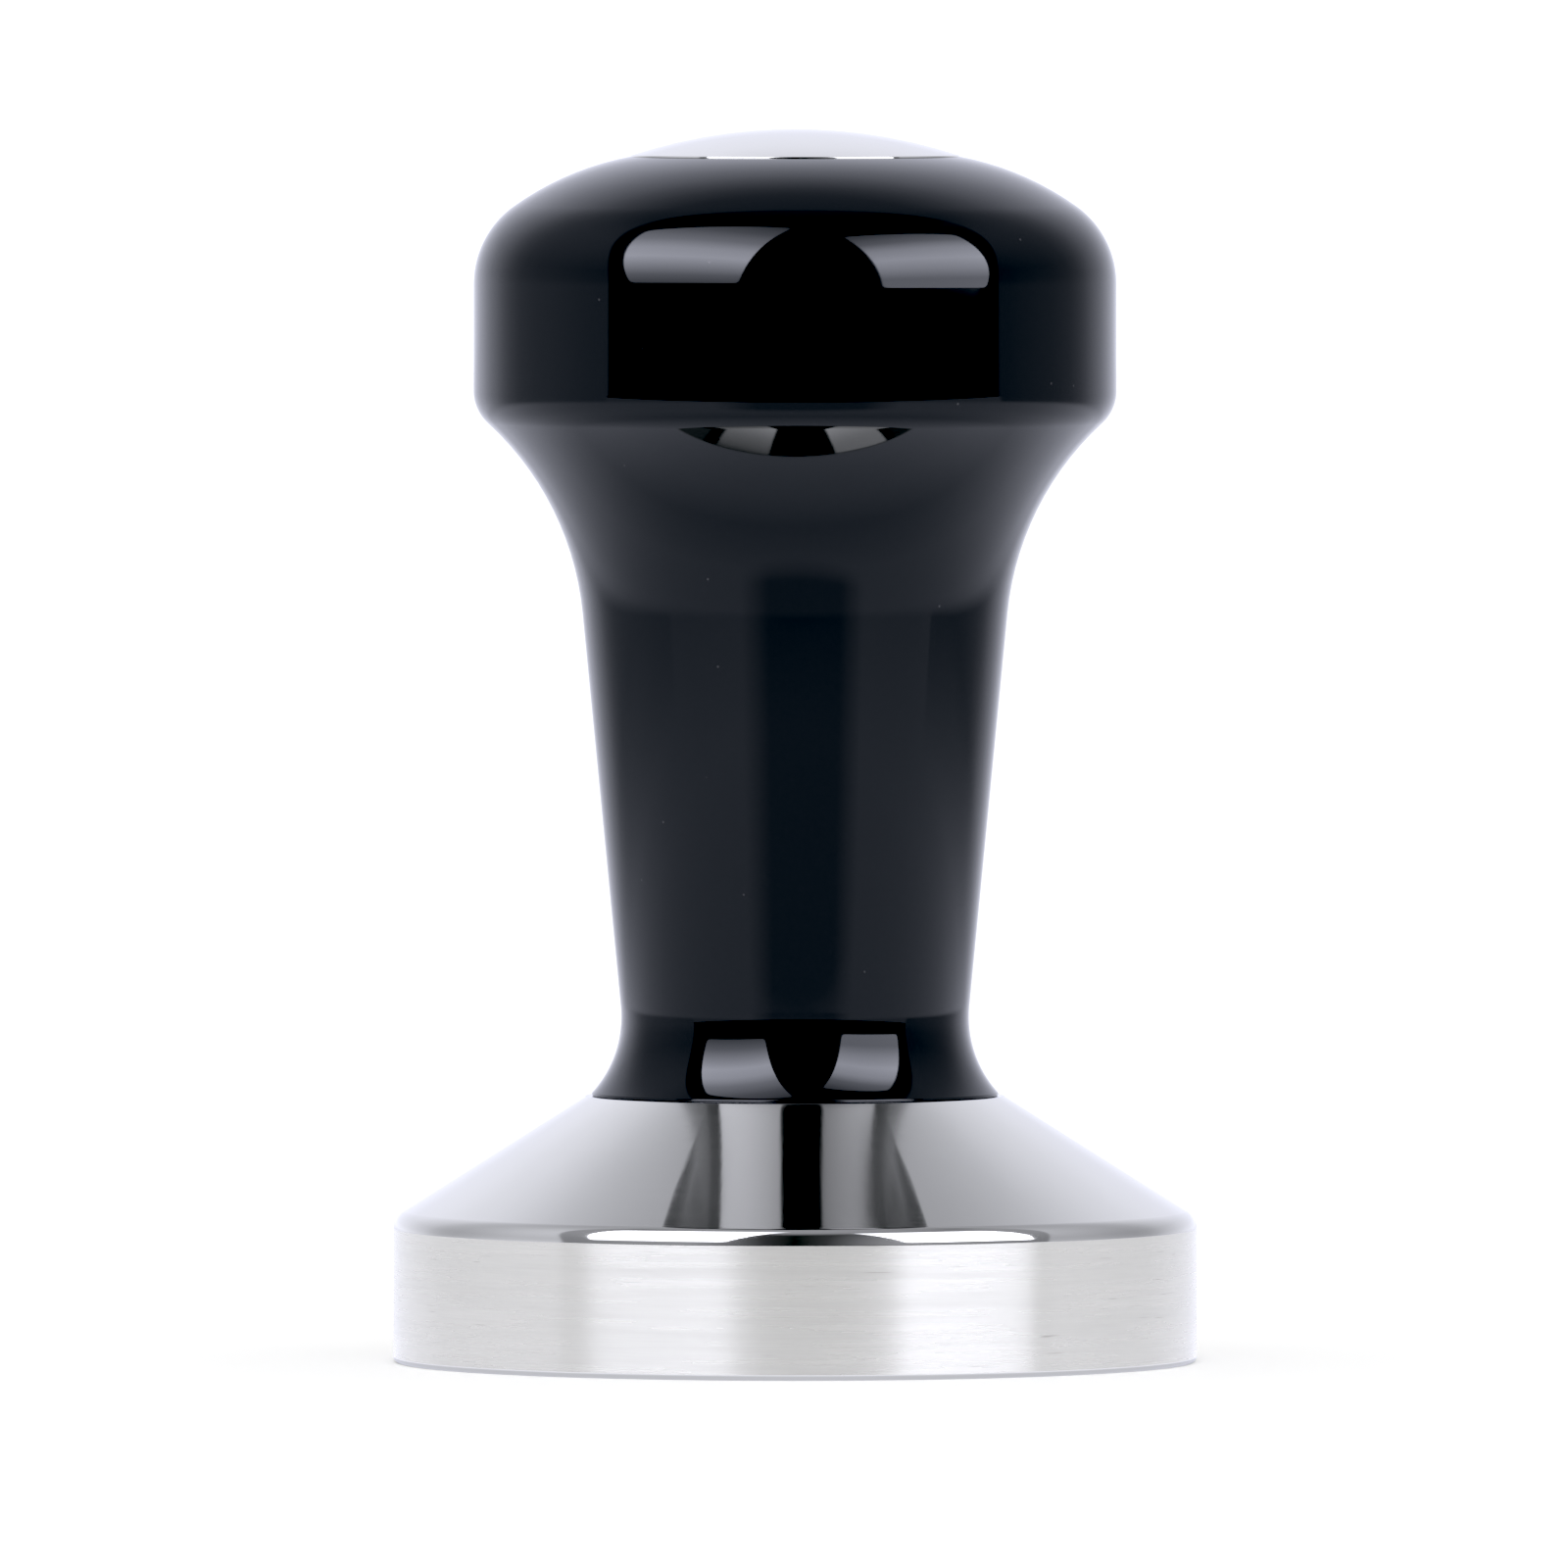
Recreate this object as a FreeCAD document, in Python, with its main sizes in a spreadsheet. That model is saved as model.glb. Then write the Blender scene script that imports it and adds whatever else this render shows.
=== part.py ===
import FreeCAD, Part
import math
import os

import Sketcher

# Espresso tamper: a turned steel piston and a turned handle that screws onto it.
# Lengths are millimetres and angles are degrees. +Z is up the common axis, and the
# origin is the centre of the flat tamping face. Each sub-part is drawn in its own
# frame, from its own lowest face, and its Placement stacks it on the axis.

SIZES = [
    ("base_diameter", 58.0, "piston rim, a slide fit in a 58 mm basket"),
    ("base_height", 19.2, "tamping face to the land that carries the handle"),
    ("rim_height", 10.45, "tamping face to where rim wall and cone would meet"),
    ("land_diameter", 30.2, "flat land on top of the cone"),
    ("rim_rounding", 1.5, "between rim wall and cone"),
    ("face_rounding", 0.4, "between tamping face and rim wall"),
    ("land_rounding", 0.2, "between cone and land"),
    ("thread_diameter", 8.0, "M8 thread of stud, piston and insert"),
    ("thread_pitch", 1.25, "coarse pitch of the M8 thread"),
    ("thread_turns", 10.0, "turns that take the handle off the stud"),
    ("running_gap", 0.05, "clearance on each side of a piece that turns"),
    ("stud_length", 25.0, "set screw, end to end"),
    ("socket_flats", 4.0, "hex socket in the stud, across flats"),
    ("socket_depth", 4.5, "depth of the hex socket"),
    ("drill_depth", 2.0, "full-width hole below the stud"),
    ("drill_point_angle", 59.0, "half angle of the hole's drill point"),
    ("insert_diameter", 12.0, "outside of the brass thread insert"),
    ("insert_length", 15.0, "length of the thread insert"),
    ("insert_recess", 0.2, "insert's mouth above the handle's foot"),
    ("insert_chamfer", 0.6, "lead-in of the insert's bore"),
    ("slot_width", 1.6, "driving slot across the insert's mouth"),
    ("slot_depth", 1.8, "depth of the driving slot"),
    ("ring_diameter", 21.0, "centre line of the seal ring"),
    ("ring_section", 2.0, "thickness of the seal ring"),
    ("waist_diameter", 25.1, "narrowest place of the handle"),
    ("waist_height", 5.7, "foot to waist"),
    ("flare_radius", 8.15, "hollow curve of the foot"),
    ("foot_rounding", 0.15, "edge of the foot"),
    ("taper_angle", 5.55, "slope of the grip to the axis"),
    ("neck_radius", 21.4, "hollow curve from the grip to the head"),
    ("shoulder_radius", 3.2, "from the neck to the head's wall"),
    ("head_diameter", 46.4, "widest place of the handle"),
    ("head_start", 50.9, "foot to the lower end of the head's wall"),
    ("head_end", 58.6, "foot to the upper end of the head's wall"),
    ("crown_edge_radius", 6.9, "from the head's wall to the crown"),
    ("crown_radius", 21.2, "crown, from its edge to the cap"),
    ("crown_height", 67.8, "foot to the crown's edge at the cap"),
    ("cap_diameter", 23.8, "steel cap and its recess"),
    ("cap_standout", 0.15, "cap's wall above the crown"),
    ("cap_wall", 2.25, "whole height of the cap's wall"),
    ("dome_height", 1.85, "rise of the cap's dome"),
    ("spigot_diameter", 8.0, "locating spigot under the cap"),
    ("spigot_length", 8.0, "length of the spigot"),
    ("spigot_gap", 0.1, "clearance round and below the spigot"),
    ("pad_thickness", 0.5, "adhesive ring under the cap"),
]

# How far the stud stands out of the piston's land.
STUD_RISE = "Sizes.insert_recess + Sizes.thread_turns * Sizes.thread_pitch"
# The stud's lower end, from the tamping face.
STUD_FOOT = f"Sizes.base_height + {STUD_RISE} - Sizes.stud_length"
# The flare's centre from the axis, and where the flare's circle crosses the foot's plane.
FLARE_CENTRE = "Sizes.waist_diameter / 2 + Sizes.flare_radius"
FOOT_RADIUS = f"{FLARE_CENTRE} - sqrt(Sizes.flare_radius ^ 2 - Sizes.waist_height ^ 2)"
# The underside of the cap's disc, and the floor of its recess, from the handle's foot.
CAP_SEAT = "Sizes.crown_height + Sizes.cap_standout - Sizes.cap_wall"
CAP_FLOOR = f"{CAP_SEAT} - Sizes.pad_thickness"

# The sketcher's numbers for the ends and the centre of an edge, and for its own axes.
START, END, CENTRE = 1, 2, 3
HORIZONTAL_AXIS, VERTICAL_AXIS = -1, -2
ORIGIN_POINT = (-1, START)

CUTTING_FEATURES = ("Groove", "Pocket", "Fillet", "Chamfer")
SMALL = 1e-6
UP = FreeCAD.Vector(0, 0, 1)

document = FreeCAD.newDocument("EspressoTamper")
sheet = document.addObject("Spreadsheet::Sheet", "Sizes")


def fill_sheet():
    """Write each driving dimension into the sheet as a name, a number and a note."""
    for row, (alias, number, note) in enumerate(SIZES, start=1):
        sheet.set(f"A{row}", alias)
        sheet.set(f"B{row}", str(number))
        sheet.set(f"C{row}", note)
        sheet.setAlias(f"B{row}", alias)
    document.recompute()


def value(expression):
    """Return the number that an expression in the sheet's aliases stands for."""
    return float(sheet.evalExpression(expression))


def new_body(label, height):
    """Start a body at a height on the common axis."""
    body = document.addObject("PartDesign::Body", label)
    body.Label = label
    body.setExpression("Placement.Base.z", height)
    return body


def new_sketch(body, name, role, height="0"):
    """Start a sketch on one of the body's own origin planes, or at a height above it."""
    sketch = body.newObject("Sketcher::SketchObject", name)
    support = next(item for item in body.Origin.OriginFeatures if item.Role == role)
    sketch.AttachmentSupport = [(support, "")]
    sketch.MapMode = "FlatFace"
    sketch.setExpression("AttachmentOffset.Base.z", height)
    return sketch


def constrain(sketch, *terms):
    """Add one constraint."""
    return sketch.addConstraint(Sketcher.Constraint(*terms))


def constrain_size(sketch, *terms, size):
    """Add one constraint whose length follows an expression."""
    index = constrain(sketch, *terms, value(size))
    sketch.setExpression(f"Constraints[{index}]", size)


def pin_across(sketch, edge, end, distance):
    """Set how far a point of an edge lies from the sketch's vertical axis."""
    if distance == "0":
        constrain(sketch, "PointOnObject", edge, end, VERTICAL_AXIS)
    else:
        constrain_size(sketch, "DistanceX", *ORIGIN_POINT, edge, end, size=distance)


def pin_up(sketch, edge, end, distance):
    """Set how far a point of an edge lies from the sketch's horizontal axis."""
    if distance == "0":
        constrain(sketch, "PointOnObject", edge, end, HORIZONTAL_AXIS)
    else:
        constrain_size(sketch, "DistanceY", *ORIGIN_POINT, edge, end, size=distance)


def add_line(sketch, first, last):
    """Add a straight edge between two (across, up) points."""
    return sketch.addGeometry(Part.LineSegment(FreeCAD.Vector(*first, 0), FreeCAD.Vector(*last, 0)))


def add_arc(sketch, centre, radius, first, last):
    """Add an arc that runs anticlockwise from one angle to another, in radians."""
    circle = Part.Circle(FreeCAD.Vector(*centre, 0), UP, radius)
    return sketch.addGeometry(Part.ArcOfCircle(circle, first, last))


def add_loop(sketch, points):
    """Add a closed loop of straight edges through the points."""
    edges = [add_line(sketch, point, following) for point, following in zip(points, points[1:] + points[:1])]
    for previous, edge in zip(edges[-1:] + edges[:-1], edges):
        constrain(sketch, "Coincident", previous, END, edge, START)
    return edges


def draw_outline(sketch, corners, roundings=()):
    """Draw a closed outline through (across, up) corners, and round some by (corner, radius)."""
    edges = add_loop(sketch, [(value(across), value(up)) for across, up in corners])
    for edge, (across, up) in zip(edges, corners):
        pin_across(sketch, edge, START, across)
        pin_up(sketch, edge, START, up)
    for corner, radius in roundings:
        arc = sketch.GeometryCount
        sketch.fillet(edges[corner], START, value(radius), True, True)
        constrain_size(sketch, "Radius", arc, size=radius)


def draw_circle(sketch, radius):
    """Draw a circle round the sketch's origin."""
    edge = sketch.addGeometry(Part.Circle(FreeCAD.Vector(0, 0, 0), UP, value(radius)))
    constrain(sketch, "Coincident", edge, CENTRE, *ORIGIN_POINT)
    constrain_size(sketch, "Radius", edge, size=radius)
    return edge


def draw_hexagon(sketch, flats):
    """Draw a regular hexagon inside a construction circle, sized across its flats."""
    circle = draw_circle(sketch, f"{flats} / sqrt(3)")
    sketch.toggleConstruction(circle)
    reach = value(flats) / math.sqrt(3)
    turns = [k * math.pi / 3 for k in range(6)]
    edges = add_loop(sketch, [(reach * math.cos(turn), reach * math.sin(turn)) for turn in turns])
    for edge in edges:
        constrain(sketch, "PointOnObject", edge, START, circle)
    for edge in edges[1:]:
        constrain(sketch, "Equal", edges[0], edge)
    constrain(sketch, "PointOnObject", edges[0], START, HORIZONTAL_AXIS)


def draw_slot(sketch, length, width):
    """Draw a rectangle round the sketch's origin."""
    reach, half = value(length) / 2, value(width) / 2
    corners = [(-reach, -half), (reach, -half), (reach, half), (-reach, half)]
    near, right, far, left = add_loop(sketch, corners)
    for edge in (near, far):
        constrain(sketch, "Horizontal", edge)
    for edge in (right, left):
        constrain(sketch, "Vertical", edge)
    constrain(sketch, "Symmetric", near, START, far, START, *ORIGIN_POINT)
    constrain_size(sketch, "DistanceX", near, START, near, END, size=length)
    constrain_size(sketch, "DistanceY", right, START, right, END, size=width)


def add_feature(body, kind, name, sizes=(), **settings):
    """Add a feature to a body, and check that it adds or cuts material as its kind should."""
    before = body.Shape.Volume if body.Tip else 0
    feature = body.newObject(f"PartDesign::{kind}", name)
    for setting, content in settings.items():
        setattr(feature, setting, content)
    for setting, expression in sizes:
        feature.setExpression(setting, expression)
    document.recompute()
    change = feature.Shape.Volume - before
    if kind in CUTTING_FEATURES:
        change = -change
    if change < SMALL:
        raise RuntimeError(f"{name} does not do what a {kind} should")


def revolve(body, name, sketch):
    """Turn a half outline round the axis."""
    add_feature(body, "Revolution", name, Profile=sketch, ReferenceAxis=(sketch, ["V_Axis"]), Angle=360)


def bore(body, name, corners):
    """Cut the ring or hole that a half outline sweeps round the axis."""
    sketch = new_sketch(body, f"{name}_outline", "XZ_Plane")
    draw_outline(sketch, corners)
    add_feature(body, "Groove", name, Profile=sketch, ReferenceAxis=(sketch, ["V_Axis"]), Angle=360)


def pad(body, name, sketch, length):
    """Raise a solid from a sketch."""
    add_feature(body, "Pad", name, [("Length", length)], Profile=sketch)


def pocket(body, name, sketch, depth, upwards=False):
    """Cut a sketch into the body, down from its plane unless it is told to go up."""
    add_feature(body, "Pocket", name, [("Length", depth)], Profile=sketch, Reversed=upwards)


def circular_edges(shape, radius, height):
    """Name the circular edges of one radius that lie at one height."""
    for number, edge in enumerate(shape.Edges, start=1):
        if not isinstance(edge.Curve, Part.Circle):
            continue
        miss = max(abs(edge.Curve.Radius - value(radius)), abs(edge.Curve.Center.z - value(height)))
        if miss < SMALL:
            yield f"Edge{number}"


def soften(body, kind, name, radius, heights, size):
    """Fillet or chamfer the circular edges of one radius at some heights."""
    base = body.Tip
    edges = [edge for height in heights for edge in circular_edges(base.Shape, radius, height)]
    if len(edges) != len(heights):
        raise RuntimeError(f"{name} found {len(edges)} edges")
    width = "Radius" if kind == "Fillet" else "Size"
    add_feature(body, kind, name, [(width, size)], Base=(base, edges))


def make_piston():
    """Turned steel base: rim wall, cone, land and the blind hole for the stud."""
    rim = "Sizes.base_diameter / 2"
    land = "Sizes.land_diameter / 2"
    hole = "Sizes.thread_diameter / 2"
    hole_floor = f"{STUD_FOOT} - Sizes.drill_depth"
    point = f"{hole_floor} - {hole} / tan(Sizes.drill_point_angle * 1 deg)"
    body = new_body("piston", "0")
    sketch = new_sketch(body, "piston_outline", "XZ_Plane")
    corners = [("0", "0"), (rim, "0"), (rim, "Sizes.rim_height"), (land, "Sizes.base_height"),
               ("0", "Sizes.base_height")]
    roundings = [(1, "Sizes.face_rounding"), (2, "Sizes.rim_rounding"), (3, "Sizes.land_rounding")]
    draw_outline(sketch, corners, roundings)
    revolve(body, "piston_turned", sketch)
    bore(body, "stud_hole", [("0", point), (hole, hole_floor), (hole, "Sizes.base_height"),
                             ("0", "Sizes.base_height")])
    return body


def make_stud():
    """Set screw that is locked in the piston and carries the handle."""
    radius = "Sizes.thread_diameter / 2"
    body = new_body("stud", STUD_FOOT)
    rod = new_sketch(body, "stud_section", "XY_Plane")
    draw_circle(rod, radius)
    pad(body, "stud_rod", rod, "Sizes.stud_length")
    soften(body, "Chamfer", "stud_ends", radius, ["0", "Sizes.stud_length"], "Sizes.thread_pitch / 2")
    socket = new_sketch(body, "socket_outline", "XY_Plane", "Sizes.stud_length")
    draw_hexagon(socket, "Sizes.socket_flats")
    pocket(body, "hex_socket", socket, "Sizes.socket_depth")
    return body


def make_seal_ring():
    """Rubber O-ring that lies on the piston's land, in a groove of the handle's foot."""
    ring = document.addObject("Part::Torus", "seal_ring")
    ring.Label = "seal_ring"
    ring.setExpression("Radius1", "Sizes.ring_diameter / 2")
    ring.setExpression("Radius2", "Sizes.ring_section / 2")
    ring.setExpression("Placement.Base.z", "Sizes.base_height + Sizes.ring_section / 2")
    document.recompute()
    return ring


def make_thread_insert():
    """Brass bush with the handle's thread and a slot to drive it by."""
    bore_radius = "Sizes.thread_diameter / 2 + Sizes.running_gap"
    body = new_body("thread_insert", "Sizes.base_height + Sizes.insert_recess")
    section = new_sketch(body, "insert_section", "XY_Plane")
    draw_circle(section, "Sizes.insert_diameter / 2")
    draw_circle(section, bore_radius)
    pad(body, "insert_tube", section, "Sizes.insert_length")
    soften(body, "Chamfer", "insert_lead_in", bore_radius, ["0"], "Sizes.insert_chamfer")
    slot = new_sketch(body, "slot_outline", "XY_Plane")
    draw_slot(slot, "Sizes.insert_diameter + 2", "Sizes.slot_width")
    pocket(body, "driving_slot", slot, "Sizes.slot_depth", upwards=True)
    return body


def make_handle():
    """Turned handle: flared foot, tapered grip, hollow neck and domed head."""
    body = new_body("handle", "Sizes.base_height")
    sketch = new_sketch(body, "handle_outline", "XZ_Plane")
    draw_handle_outline(sketch)
    revolve(body, "handle_turned", sketch)
    soften(body, "Fillet", "foot_edge", FOOT_RADIUS, ["0"], "Sizes.foot_rounding")

    insert = "Sizes.insert_diameter / 2"
    insert_top = "Sizes.insert_recess + Sizes.insert_length"
    clearance = "Sizes.thread_diameter / 2"
    clearance_top = f"{insert_top} + Sizes.thread_pitch"
    bore(body, "insert_hole", [("0", "0"), (insert, "0"), (insert, insert_top), (clearance, insert_top),
                               (clearance, clearance_top), ("0", clearance_top)])

    half_width = "(Sizes.ring_section / 2 + Sizes.running_gap)"
    inside = f"Sizes.ring_diameter / 2 - {half_width}"
    outside = f"Sizes.ring_diameter / 2 + {half_width}"
    ring_top = "Sizes.ring_section + Sizes.running_gap"
    bore(body, "ring_groove", [(inside, "0"), (outside, "0"), (outside, ring_top), (inside, ring_top)])

    cap = "Sizes.cap_diameter / 2"
    spigot = "Sizes.spigot_diameter / 2 + Sizes.spigot_gap"
    spigot_floor = f"{CAP_SEAT} - Sizes.spigot_length - Sizes.spigot_gap"
    bore(body, "cap_recess", [("0", spigot_floor), (spigot, spigot_floor), (spigot, CAP_FLOOR),
                              (cap, CAP_FLOOR), (cap, "Sizes.crown_height"), ("0", "Sizes.crown_height")])
    return body


def grip_and_neck(sketch):
    """Draw the straight grip, and the hollow arcs that flare it to the foot and to the head."""
    flare, neck, shoulder = (value(f"Sizes.{name}_radius") for name in ("flare", "neck", "shoulder"))
    slope = math.radians(value("Sizes.taper_angle"))
    along = FreeCAD.Vector(math.sin(slope), math.cos(slope), 0)
    outwards = FreeCAD.Vector(math.cos(slope), -math.sin(slope), 0)

    # The flare's centre is level with the waist, and its circle ends in the foot's plane.
    flare_centre = FreeCAD.Vector(value(FLARE_CENTRE), value("Sizes.waist_height"), 0)
    foot_angle = math.pi + math.asin(value("Sizes.waist_height") / flare)
    grip_start = flare_centre - outwards * flare

    # The neck's centre is one neck radius off the slope, and its circle touches the shoulder's.
    shoulder_reach = value("Sizes.head_diameter / 2") - shoulder
    shoulder_centre = FreeCAD.Vector(shoulder_reach, value("Sizes.head_start"), 0)
    offset = shoulder_centre - grip_start
    reach = math.sqrt((neck + shoulder) ** 2 - (neck - offset.dot(outwards)) ** 2)
    grip_end = grip_start + along * (offset.dot(along) - reach)
    neck_centre = grip_end + outwards * neck
    touch = shoulder_centre - neck_centre
    touch_angle = math.atan2(touch.y, touch.x)

    flare_arc = add_arc(sketch, flare_centre[:2], flare, math.pi - slope, foot_angle)
    grip = add_line(sketch, grip_start[:2], grip_end[:2])
    neck_arc = add_arc(sketch, neck_centre[:2], neck, touch_angle, math.pi - slope)
    shoulder_arc = add_arc(sketch, shoulder_centre[:2], shoulder, touch_angle - math.pi, 0)
    constrain(sketch, "Tangent", flare_arc, START, grip, START)
    constrain(sketch, "Tangent", grip, END, neck_arc, END)
    constrain(sketch, "Tangent", neck_arc, START, shoulder_arc, START)
    tilt = constrain(sketch, "Angle", grip, START, VERTICAL_AXIS, START, slope)
    sketch.setExpression(f"Constraints[{tilt}]", "Sizes.taper_angle * 1 deg")
    pin_across(sketch, flare_arc, CENTRE, FLARE_CENTRE)
    pin_up(sketch, flare_arc, CENTRE, "Sizes.waist_height")
    constrain_size(sketch, "Radius", flare_arc, size="Sizes.flare_radius")
    constrain_size(sketch, "Radius", neck_arc, size="Sizes.neck_radius")
    constrain_size(sketch, "Radius", shoulder_arc, size="Sizes.shoulder_radius")
    return flare_arc, shoulder_arc


def crown(sketch):
    """Draw the two arcs that round the head over to the cap's recess."""
    edge, crown_radius = value("Sizes.crown_edge_radius"), value("Sizes.crown_radius")
    edge_centre = FreeCAD.Vector(value("Sizes.head_diameter / 2") - edge, value("Sizes.head_end"), 0)
    cap_corner = FreeCAD.Vector(value("Sizes.cap_diameter / 2"), value("Sizes.crown_height"), 0)

    # The crown's circle touches the edge's circle from outside it, and passes the cap's corner.
    span = cap_corner - edge_centre
    reach = crown_radius - edge
    bend = math.acos((reach ** 2 + span.Length ** 2 - crown_radius ** 2) / (2 * reach * span.Length))
    away = math.atan2(span.y, span.x) + bend
    crown_centre = edge_centre + FreeCAD.Vector(math.cos(away), math.sin(away), 0) * reach
    to_cap = cap_corner - crown_centre
    touch_angle = away - math.pi

    edge_arc = add_arc(sketch, edge_centre[:2], edge, 0, touch_angle)
    crown_arc = add_arc(sketch, crown_centre[:2], crown_radius, touch_angle, math.atan2(to_cap.y, to_cap.x))
    constrain(sketch, "Tangent", edge_arc, END, crown_arc, START)
    constrain_size(sketch, "Radius", edge_arc, size="Sizes.crown_edge_radius")
    constrain_size(sketch, "Radius", crown_arc, size="Sizes.crown_radius")
    return edge_arc, crown_arc


def draw_handle_outline(sketch):
    """Draw the handle's half outline: straight runs joined by tangent arcs, from the foot up."""
    flare_arc, shoulder_arc = grip_and_neck(sketch)
    edge_arc, crown_arc = crown(sketch)
    head, top = value("Sizes.head_diameter / 2"), value("Sizes.crown_height")
    wall = add_line(sketch, (head, value("Sizes.head_start")), (head, value("Sizes.head_end")))
    lid = add_line(sketch, (value("Sizes.cap_diameter / 2"), top), (0, top))
    axis = add_line(sketch, (0, top), (0, 0))
    underside = add_line(sketch, (0, 0), (value(FOOT_RADIUS), 0))

    constrain(sketch, "Tangent", shoulder_arc, END, wall, START)
    constrain(sketch, "Tangent", wall, END, edge_arc, START)
    for first, last in ((crown_arc, lid), (lid, axis), (axis, underside)):
        constrain(sketch, "Coincident", first, END, last, START)
    constrain(sketch, "Coincident", underside, END, flare_arc, END)
    constrain(sketch, "Coincident", underside, START, *ORIGIN_POINT)
    for edge, direction in ((wall, "Vertical"), (lid, "Horizontal"), (axis, "Vertical"),
                            (underside, "Horizontal")):
        constrain(sketch, direction, edge)
    pin_across(sketch, wall, START, "Sizes.head_diameter / 2")
    pin_up(sketch, wall, START, "Sizes.head_start")
    pin_up(sketch, wall, END, "Sizes.head_end")
    pin_across(sketch, lid, START, "Sizes.cap_diameter / 2")
    pin_up(sketch, lid, START, "Sizes.crown_height")


def make_cap_pad():
    """Adhesive ring between the cap and the floor of its recess."""
    body = new_body("cap_pad", f"Sizes.base_height + {CAP_FLOOR}")
    section = new_sketch(body, "pad_section", "XY_Plane")
    draw_circle(section, "Sizes.cap_diameter / 2 - Sizes.pad_thickness")
    draw_circle(section, "Sizes.spigot_diameter / 2 + Sizes.pad_thickness")
    pad(body, "pad_ring", section, "Sizes.pad_thickness")
    return body


def make_cap():
    """Turned steel cap: a domed disc with a locating spigot under it."""
    spigot, rim = "Sizes.spigot_diameter / 2", "Sizes.cap_diameter / 2"
    disc, wall_top = "Sizes.spigot_length", "Sizes.spigot_length + Sizes.cap_wall"
    apex = f"{wall_top} + Sizes.dome_height"
    body = new_body("cap", f"Sizes.base_height + {CAP_SEAT} - Sizes.spigot_length")
    sketch = new_sketch(body, "cap_outline", "XZ_Plane")

    corners = [("0", "0"), (spigot, "0"), (spigot, disc), (rim, disc), (rim, wall_top)]
    points = [(value(across), value(up)) for across, up in corners]
    edges = [add_line(sketch, first, last) for first, last in zip(points, points[1:])]
    half_width, rise = value(rim), value("Sizes.dome_height")
    dome_radius = (half_width ** 2 + rise ** 2) / (2 * rise)
    rim_angle = math.acos(half_width / dome_radius)
    dome = add_arc(sketch, (0, value(apex) - dome_radius), dome_radius, rim_angle, math.pi / 2)
    axis = add_line(sketch, (0, value(apex)), (0, 0))

    outline = edges + [dome, axis]
    for previous, edge in zip(outline[-1:] + outline[:-1], outline):
        constrain(sketch, "Coincident", previous, END, edge, START)
    for edge, (across, up) in zip(outline, corners):
        pin_across(sketch, edge, START, across)
        pin_up(sketch, edge, START, up)
    pin_across(sketch, dome, CENTRE, "0")
    pin_across(sketch, dome, END, "0")
    pin_up(sketch, dome, END, apex)
    revolve(body, "cap_turned", sketch)
    return body


def check_document():
    """Stop if an object of the document failed, or a sketch is free to move."""
    for item in document.Objects:
        if "Invalid" in item.State or "Error" in item.State:
            raise RuntimeError(f"{item.Name} failed: {item.State}")
        if item.TypeId == "Sketcher::SketchObject" and not item.FullyConstrained:
            raise RuntimeError(f"{item.Name} is not fully constrained")


def write_parts(parts):
    """Write each sub-part's solid to a STEP file named after its label."""
    for part in parts:
        if part.Shape.isNull() or not part.Shape.isValid():
            raise RuntimeError(f"{part.Label} has no valid shape")
    os.makedirs("parts", exist_ok=True)
    for part in parts:
        part.Shape.exportStep(f"parts/{part.Label}.step")
        box = part.Shape.optimalBoundingBox(False, False)
        print(f"{part.Label}: {part.Shape.Volume:.1f} mm3, z {box.ZMin:.2f} to {box.ZMax:.2f}")


fill_sheet()
sub_parts = [make_piston(), make_stud(), make_seal_ring(), make_thread_insert(),
             make_handle(), make_cap_pad(), make_cap()]
document.recompute()
check_document()
write_parts(sub_parts)
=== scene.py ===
import math

import bmesh
import bpy
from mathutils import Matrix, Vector


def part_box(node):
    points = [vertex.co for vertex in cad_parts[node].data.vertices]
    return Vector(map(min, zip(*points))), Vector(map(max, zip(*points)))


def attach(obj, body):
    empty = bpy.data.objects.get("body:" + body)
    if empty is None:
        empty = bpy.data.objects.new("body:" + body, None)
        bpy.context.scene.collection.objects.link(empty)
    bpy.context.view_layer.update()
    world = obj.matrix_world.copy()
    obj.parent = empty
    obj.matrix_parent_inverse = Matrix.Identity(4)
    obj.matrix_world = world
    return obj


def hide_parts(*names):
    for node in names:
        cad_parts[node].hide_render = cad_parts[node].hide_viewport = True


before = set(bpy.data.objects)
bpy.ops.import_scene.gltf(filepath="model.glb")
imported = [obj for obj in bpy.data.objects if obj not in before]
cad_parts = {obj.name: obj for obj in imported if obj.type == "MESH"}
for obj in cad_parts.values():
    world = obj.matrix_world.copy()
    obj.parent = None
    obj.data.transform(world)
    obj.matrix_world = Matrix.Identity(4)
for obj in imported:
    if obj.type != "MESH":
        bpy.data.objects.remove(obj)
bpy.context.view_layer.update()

# Espresso tamper: the looks of each piece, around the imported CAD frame.
# Outlines and threads are drawn in millimetres, an outline's places as (distance from the axis,
# height above the tamping face), and become meshes in metres. Materials and studio are in metres.

MM = 0.001
TURN_STEPS = 256                # faces round a turned piece
ARC_STEP = math.radians(3)      # the most that one face of a round run turns
THREAD_STEPS = 96               # faces round a threaded piece
THREAD_ROWS = 20                # faces along one pitch of a thread
SAME_PLACE = 1e-6               # millimetres between points that count as one
LEVEL = 1e-4                    # millimetres that an edge may be off a height
WELD = 1e-5                     # millimetres between vertices that are merged
CREASE = math.radians(35)       # sharper edges of a threaded piece stay crisp


# ---------------------------------------------------------------- sizes, from the frame

def low(node):
    """Lowest height of a CAD node, in millimetres."""
    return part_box(node)[0].z / MM


def high(node):
    """Highest height of a CAD node, in millimetres."""
    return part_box(node)[1].z / MM


def radius(node):
    """Outside radius of a CAD node, in millimetres."""
    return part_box(node)[1].x / MM


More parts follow.
